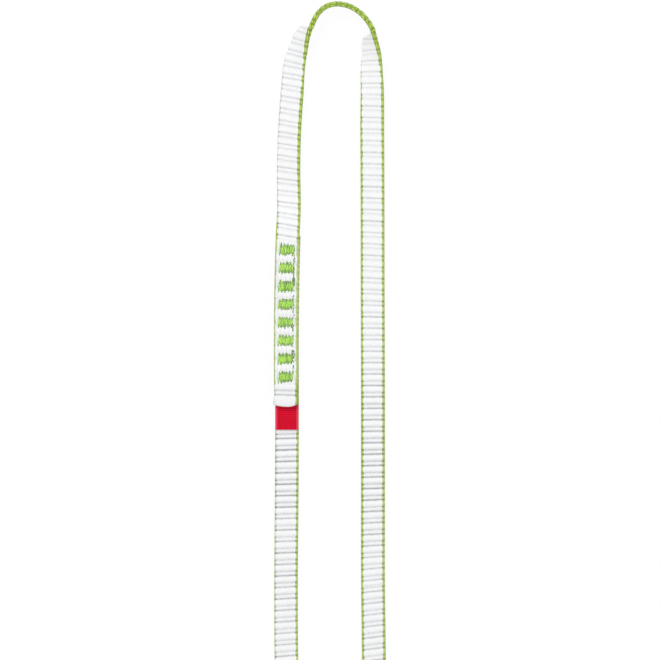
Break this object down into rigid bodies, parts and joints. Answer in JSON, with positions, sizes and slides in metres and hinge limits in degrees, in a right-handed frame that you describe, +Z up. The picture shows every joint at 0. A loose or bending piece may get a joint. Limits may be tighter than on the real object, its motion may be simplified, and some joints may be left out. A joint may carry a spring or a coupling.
{
  "type": "sewn sling",
  "caption": "Sewn runner: a narrow woven tape closed into an endless loop by a bar-tacked lap splice with a small folded label, for linking karabiners and anchors.",
  "frame": {"origin": "middle of the underside of the bounding box, on the surface that the loop lies on", "axes": "+Z up from that surface; +Y along the legs of the loop towards the far bend, the bend beyond the splice; +X across the loop, from the spliced leg to the plain leg"},
  "size_m": [0.0364, 0.2894, 0.0079],
  "materials": {
    "tape_white": "ribbed narrow weave of undyed high-strength yarn, slight sheen",
    "edge_green": "woven edge of dyed yarn, matt",
    "thread_green": "twisted sewing thread, slight sheen",
    "label_red": "fine woven ribbon, satin, bare"
  },
  "bodies": {
    "root": {"tape": "tape_white", "selvedge_left": "edge_green", "selvedge_right": "edge_green", "label": "label_red", "bar_tack_face_1": "thread_green", "bar_tack_face_2": "thread_green", "bar_tack_face_3": "thread_green", "bar_tack_face_4": "thread_green", "bar_tack_face_5": "thread_green", "bar_tack_face_6": "thread_green", "bar_tack_face_7": "thread_green", "bar_tack_face_8": "thread_green", "bar_tack_back_1": "thread_green", "bar_tack_back_2": "thread_green", "bar_tack_back_3": "thread_green", "bar_tack_back_4": "thread_green", "bar_tack_back_5": "thread_green", "bar_tack_back_6": "thread_green", "bar_tack_back_7": "thread_green", "bar_tack_back_8": "thread_green", "travel_stitch_face_1": "thread_green", "travel_stitch_face_2": "thread_green", "travel_stitch_face_3": "thread_green", "travel_stitch_face_4": "thread_green", "travel_stitch_face_5": "thread_green", "travel_stitch_face_6": "thread_green", "travel_stitch_face_7": "thread_green", "travel_stitch_back_1": "thread_green", "travel_stitch_back_2": "thread_green", "travel_stitch_back_3": "thread_green", "travel_stitch_back_4": "thread_green", "travel_stitch_back_5": "thread_green", "travel_stitch_back_6": "thread_green", "travel_stitch_back_7": "thread_green"}
  },
  "joints": []
}
